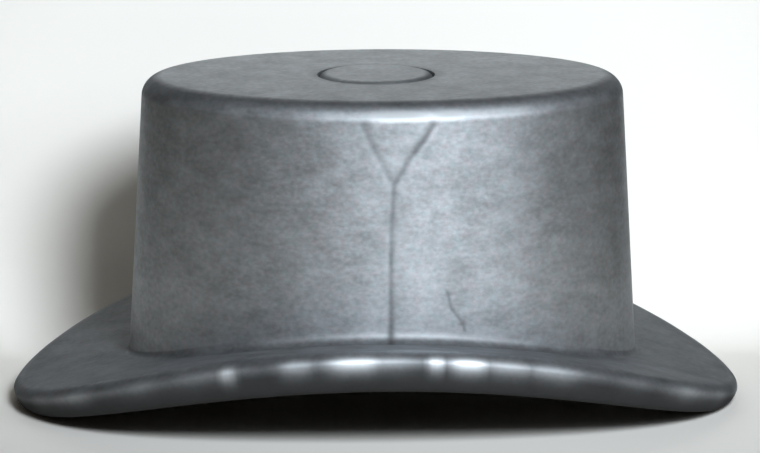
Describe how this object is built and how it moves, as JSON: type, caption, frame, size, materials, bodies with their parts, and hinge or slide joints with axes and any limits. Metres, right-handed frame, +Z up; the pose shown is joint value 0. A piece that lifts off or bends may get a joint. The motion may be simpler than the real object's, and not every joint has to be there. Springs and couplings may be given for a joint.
{
  "type": "game token",
  "caption": "Small game token in the form of a low top hat: hollow oval crown with a flat top, and a saddle-shaped brim with a rounded edge that stands on its ends.",
  "frame": {"origin": "on the table under the middle of the brim, at the bottom centre of the whole token", "axes": "+X along the brim's length, +Y across the brim, +Z up"},
  "size_m": [0.025, 0.0204, 0.0115],
  "materials": {
    "silver_plastic": "satin, with a fine metallic flake"
  },
  "bodies": {
    "root": {"brim": "silver_plastic", "crown": "silver_plastic", "crown_plug": "silver_plastic"}
  },
  "joints": []
}
